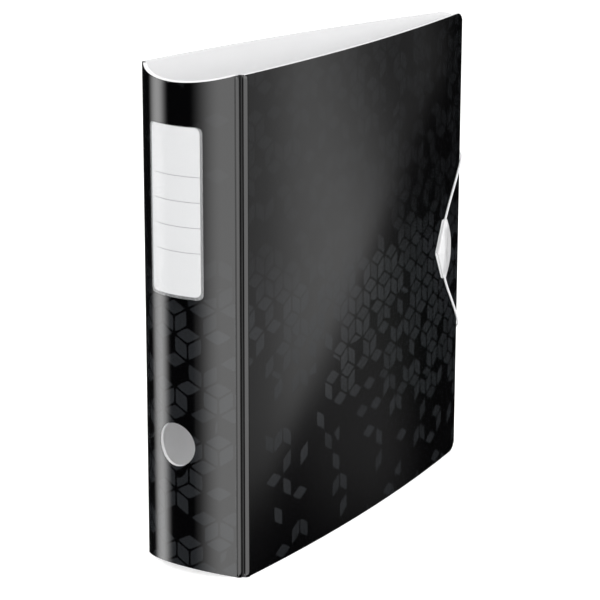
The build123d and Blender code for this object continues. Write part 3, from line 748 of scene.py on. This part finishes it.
# Headings are angles in plan from +X towards +Y. A bead's outline starts in the groove before
# its crease; each of its stretches is (length, heading at the start, heading at the end).
GROOVE_HEADING = radians(23.5)
COVER_HEADING = pi / 2 + COVER_LEAN - asin(COVER_DEPTH / 2 / COVER_R)
SPINE_HEADING = asin(HALF_CHORD / SPINE_R)
COVER_CREASE = (HINGE_SPAN / 2, CREASE_Y)
SPINE_CREASE = (HALF_CHORD, CREASE_Y - STRIP_SIDE)
COVER_BEAD_LEAD = 1.7
SPINE_BEAD_LEAD = 1.9
COVER_BEAD_OUTLINE = [(0.9, 2, 14), (2.4, 40, 53), (0.8, 60, 130), (1.3, 135, 165)]
SPINE_BEAD_OUTLINE = [(0.9, 32, 22), (2.2, 46, 62), (0.7, 75, 125), (0.6, 145, 155)]
STRETCH_STEPS = 6
BEAD_ROWS = 80
BEAD_MARGIN = 0.35         # the beads stop short of the file's ends
BEND_REACH = 1.5           # to each side of a crease


def towards(heading):
    return Vector((cos(heading), sin(heading)))


def trace(start, stretches):
    """Plan line from a start along stretches."""
    points = [Vector(start)]
    for length, first, last in stretches:
        for i in range(STRETCH_STEPS):
            heading = radians(first + (last - first) * (i + 0.5) / STRETCH_STEPS)
            points.append(points[-1] + towards(heading) * length / STRETCH_STEPS)
    return points


def cover_bead():
    """Bead on the front cover's crease, in plan: a broad slanting face and a short drop."""
    crease = Vector(COVER_CREASE)
    start = crease - towards(GROOVE_HEADING) * COVER_BEAD_LEAD
    inner = [crease + Vector((-0.6, 2.6)), crease + Vector((-0.7, 0.5))]
    return trace(start, COVER_BEAD_OUTLINE) + inner + [start + Vector((-0.1, 0.5))]


def spine_bead():
    """Narrow bead on the front crease of the spine, in plan."""
    crease = Vector(SPINE_CREASE)
    start = crease - towards(SPINE_HEADING) * SPINE_BEAD_LEAD
    inner = [crease + Vector((-0.6, 0.9)), start + Vector((-0.3, 0.4))]
    return trace(start, SPINE_BEAD_OUTLINE) + inner


def crease_film(name, plan, side, material):
    """Film with a plan outline given for the front, standing over a crease."""
    if side < 0:
        plan = [Vector((-p.x, p.y)) for p in reversed(plan)]
    rings = []
    for k in range(BEAD_ROWS + 1):
        z = BEAD_MARGIN + (HEIGHT - 2 * BEAD_MARGIN) * k / BEAD_ROWS
        rings.append([Vector((p.x, p.y, z)) * MM for p in plan])
    film = loft(name, rings, material)
    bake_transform(film)


def make_crease_films(material):
    """Two beads on each side of the spine."""
    cover_point, spine_point = Vector(COVER_CREASE), Vector(SPINE_CREASE)
    strip_way = (cover_point - spine_point).normalized()
    cover_ends = (cover_point - strip_way * BEND_REACH,
                  cover_point + towards(COVER_HEADING) * BEND_REACH)
    spine_ends = (spine_point - towards(SPINE_HEADING) * BEND_REACH,
                  spine_point + strip_way * BEND_REACH)
    for side, word in ((1, "front"), (-1, "back")):
        strip, cover = f"{word}_strip", f"{word}_cover"
        beads = (
            (f"{word}_cover_bead", cover_bead(), cover_ends, (strip, cover)),
            (f"{word}_spine_bead", spine_bead(), spine_ends, ("spine", strip)),
        )
        for name, plan, ends, bodies in beads:
            crease_film(name, plan, side, material)


# ---- floor and light

FLOOR_HALF_SIDE = 6.0
FLOOR_GLOW = 0.42
DIFFUSE_LEVEL = 0.96       # of the studio's even light; the camera sees it at 1

# The studio that shiny surfaces see, in degrees: bearings run from -Y towards +X, and the rear
# panel's run back from +Y. An edge is (where it is dark, where it is full).
STRIP_EDGES, STRIP_GLOW = ((-97.0, -68.0), (-47.0, -67.0)), 3.9
BOX_EDGES, BOX_GLOW = ((-10.0, 38.0), (94.0, 70.0)), 3.2
TOP_EDGE, TOP_GLOW = (25.0, 60.0), 1.1
DARK_GLOW = 0.008
PANEL_SLANT = -1.3         # bearing against elevation, along the panel's steps of brightness
PANEL_LEVEL = 10.0
PANEL_FAINT = (7.0, 13.0, 0.13)
PANEL_BRIGHT = (17.0, 32.0, 0.74)
PANEL_DIMMER = (29.0, 37.0, -0.52)
PANEL_FOOT_SLANT = 2.35
PANEL_FOOT = 14.7
PANEL_FOOT_EDGE = (1.2, 4.2)
PANEL_END = (75.0, 50.0)
POOL_SIDES = ((12.0, 21.0), (33.0, 25.0))
POOL_LOW, POOL_HIGH = (-21.5, -18.8), (-11.0, -17.0)
POOL_GLOW = 0.13


def make_floor():
    g = Graph(bpy.data.materials.new("floor_paper"))
    shader = g.tree.nodes["Principled BSDF"]
    shader.inputs["Base Color"].default_value = (0.86, 0.86, 0.86, 1)
    shader.inputs["Roughness"].default_value = 0.9
    shader.inputs["Specular IOR Level"].default_value = 0.0
    shader.inputs["Emission Color"].default_value = (1, 1, 1, 1)
    shader.inputs["Emission Strength"].default_value = FLOOR_GLOW
    size = FLOOR_HALF_SIDE
    corners = [(-size, -size, 0), (size, -size, 0), (size, size, 0), (-size, size, 0)]
    floor = mesh_object("floor", corners, [(0, 1, 2, 3)], g.owner)
    floor.visible_glossy = False


def direction_angles(g):
    """Compass bearing from -Y towards +X and elevation of a world direction, in degrees."""
    x, y, z = g.split(g.add("ShaderNodeTexCoord").outputs["Generated"])
    degree = 180 / pi
    bearing = g.product(g.math("ARCTAN2", x, g.product(y, -1.0)), degree)
    elevation = g.product(g.math("ARCSINE", z), degree)
    return bearing, elevation


def glossy_light(g):
    """What shiny surfaces see: a dark studio, a strip light on the left and soft panels."""
    bearing, elevation = direction_angles(g)
    strip = g.product(g.band(bearing, *STRIP_EDGES), STRIP_GLOW)
    box = g.product(g.band(bearing, *BOX_EDGES), BOX_GLOW)
    top = g.product(g.ramp(elevation, *TOP_EDGE), TOP_GLOW)
    return g.total(strip, box, rear_panel(g, bearing, elevation), top, DARK_GLOW)


def rear_panel(g, bearing, elevation):
    """Panel behind the file that the front cover mirrors.

    It is brightest near one end and its edge slants. A faint pool of light lies under it.
    """
    from_rear = g.math("SUBTRACT", 180.0, bearing)
    slanted = g.math("MULTIPLY_ADD", g.total(elevation, PANEL_LEVEL), PANEL_SLANT, from_rear)

    def step(value, low, high, gain):
        return g.product(g.ramp(value, low, high), gain)

    glow = g.total(
        step(slanted, *PANEL_FAINT),
        step(slanted, *PANEL_BRIGHT),
        step(from_rear, *PANEL_DIMMER),
    )
    past_foot = g.total(from_rear, g.product(elevation, PANEL_FOOT_SLANT), PANEL_FOOT)
    lit = g.product(glow, g.ramp(past_foot, *PANEL_FOOT_EDGE), g.ramp(from_rear, *PANEL_END))
    pool = g.product(
        g.band(from_rear, *POOL_SIDES),
        g.ramp(elevation, *POOL_LOW),
        g.ramp(elevation, *POOL_HIGH),
        POOL_GLOW,
    )
    return g.total(lit, pool)


def make_world():
    world = bpy.data.worlds.new("studio")
    bpy.context.scene.world = world
    g = Graph(world)
    background = g.tree.nodes["Background"]
    path = g.add("ShaderNodeLightPath")
    shiny = path.outputs["Is Glossy Ray"]
    seen = path.outputs["Is Camera Ray"]
    even = g.spread(seen, DIFFUSE_LEVEL, 1.0)
    glossy = glossy_light(g)
    gap = g.math("SUBTRACT", glossy, even)
    g.feed(background.inputs["Strength"], g.math("MULTIPLY_ADD", gap, shiny, even))
    background.inputs["Color"].default_value = (1, 1, 1, 1)


def area_light(name, place, target, size, power):
    data = bpy.data.lights.new(name, "AREA")
    data.shape = "RECTANGLE"
    data.size, data.size_y = size
    data.energy = power
    lamp = bpy.data.objects.new(name, data)
    lamp.location = place
    aim = Vector(target) - Vector(place)
    lamp.rotation_euler = aim.to_track_quat("-Z", "Y").to_euler()
    lamp.visible_glossy = False
    bpy.context.scene.collection.objects.link(lamp)


def make_lights():
    area_light("key", (-0.9, -1.6, 1.5), (0, 0, 0.16), (1.2, 1.2), 9.0)
    area_light("fill", (1.6, -0.8, 0.9), (0, 0, 0.16), (1.4, 1.0), 9.0)
    area_light("top", (0, 0, 1.7), (0, 0, 0.3), (1.4, 1.4), 6.0)
    bpy.context.scene.view_settings.view_transform = "Standard"


# ---- everything

def main():
    make_camera()
    looks = make_looks()
    cord, line, length = make_cord(looks["elastic"])
    clip = make_clip(looks["clip"])
    make_crease_films(looks["film"])
    make_floor()
    make_world()
    make_lights()


main()
